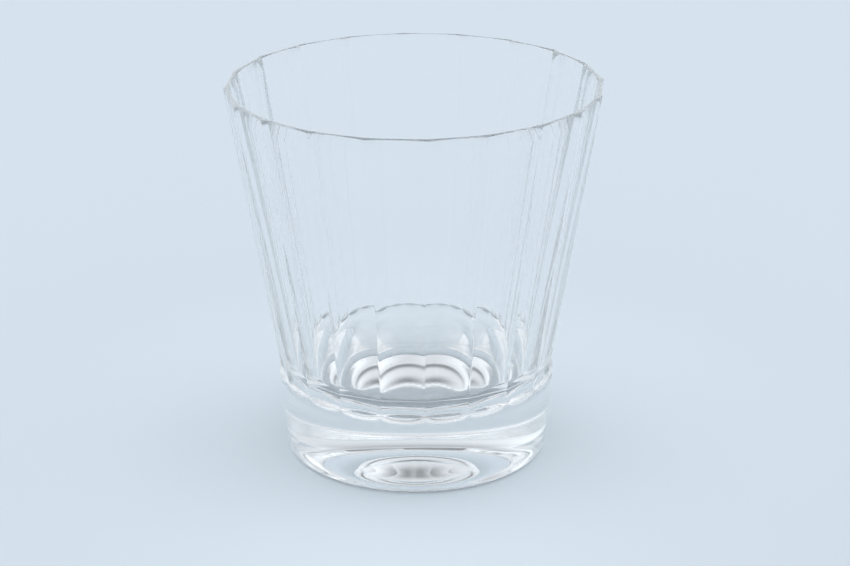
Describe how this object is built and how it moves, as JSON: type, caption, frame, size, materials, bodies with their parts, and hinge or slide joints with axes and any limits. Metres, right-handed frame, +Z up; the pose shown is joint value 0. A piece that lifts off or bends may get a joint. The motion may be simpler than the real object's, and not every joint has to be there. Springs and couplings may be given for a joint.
{
  "type": "faceted mixing glass",
  "caption": "Clear tapered bar glass with flat vertical facets outside, a smooth inside, a plain rim and a thick solid base, for stirring and serving drinks.",
  "frame": {"origin": "centre of the base, on the surface the glass stands on", "axes": "+Z up along the glass's axis; +X through one ridge between two facets"},
  "size_m": [0.0938, 0.0938, 0.096],
  "materials": {
    "clear_glass": "polished clear"
  },
  "bodies": {
    "root": {"glass_body": "clear_glass"}
  },
  "joints": []
}
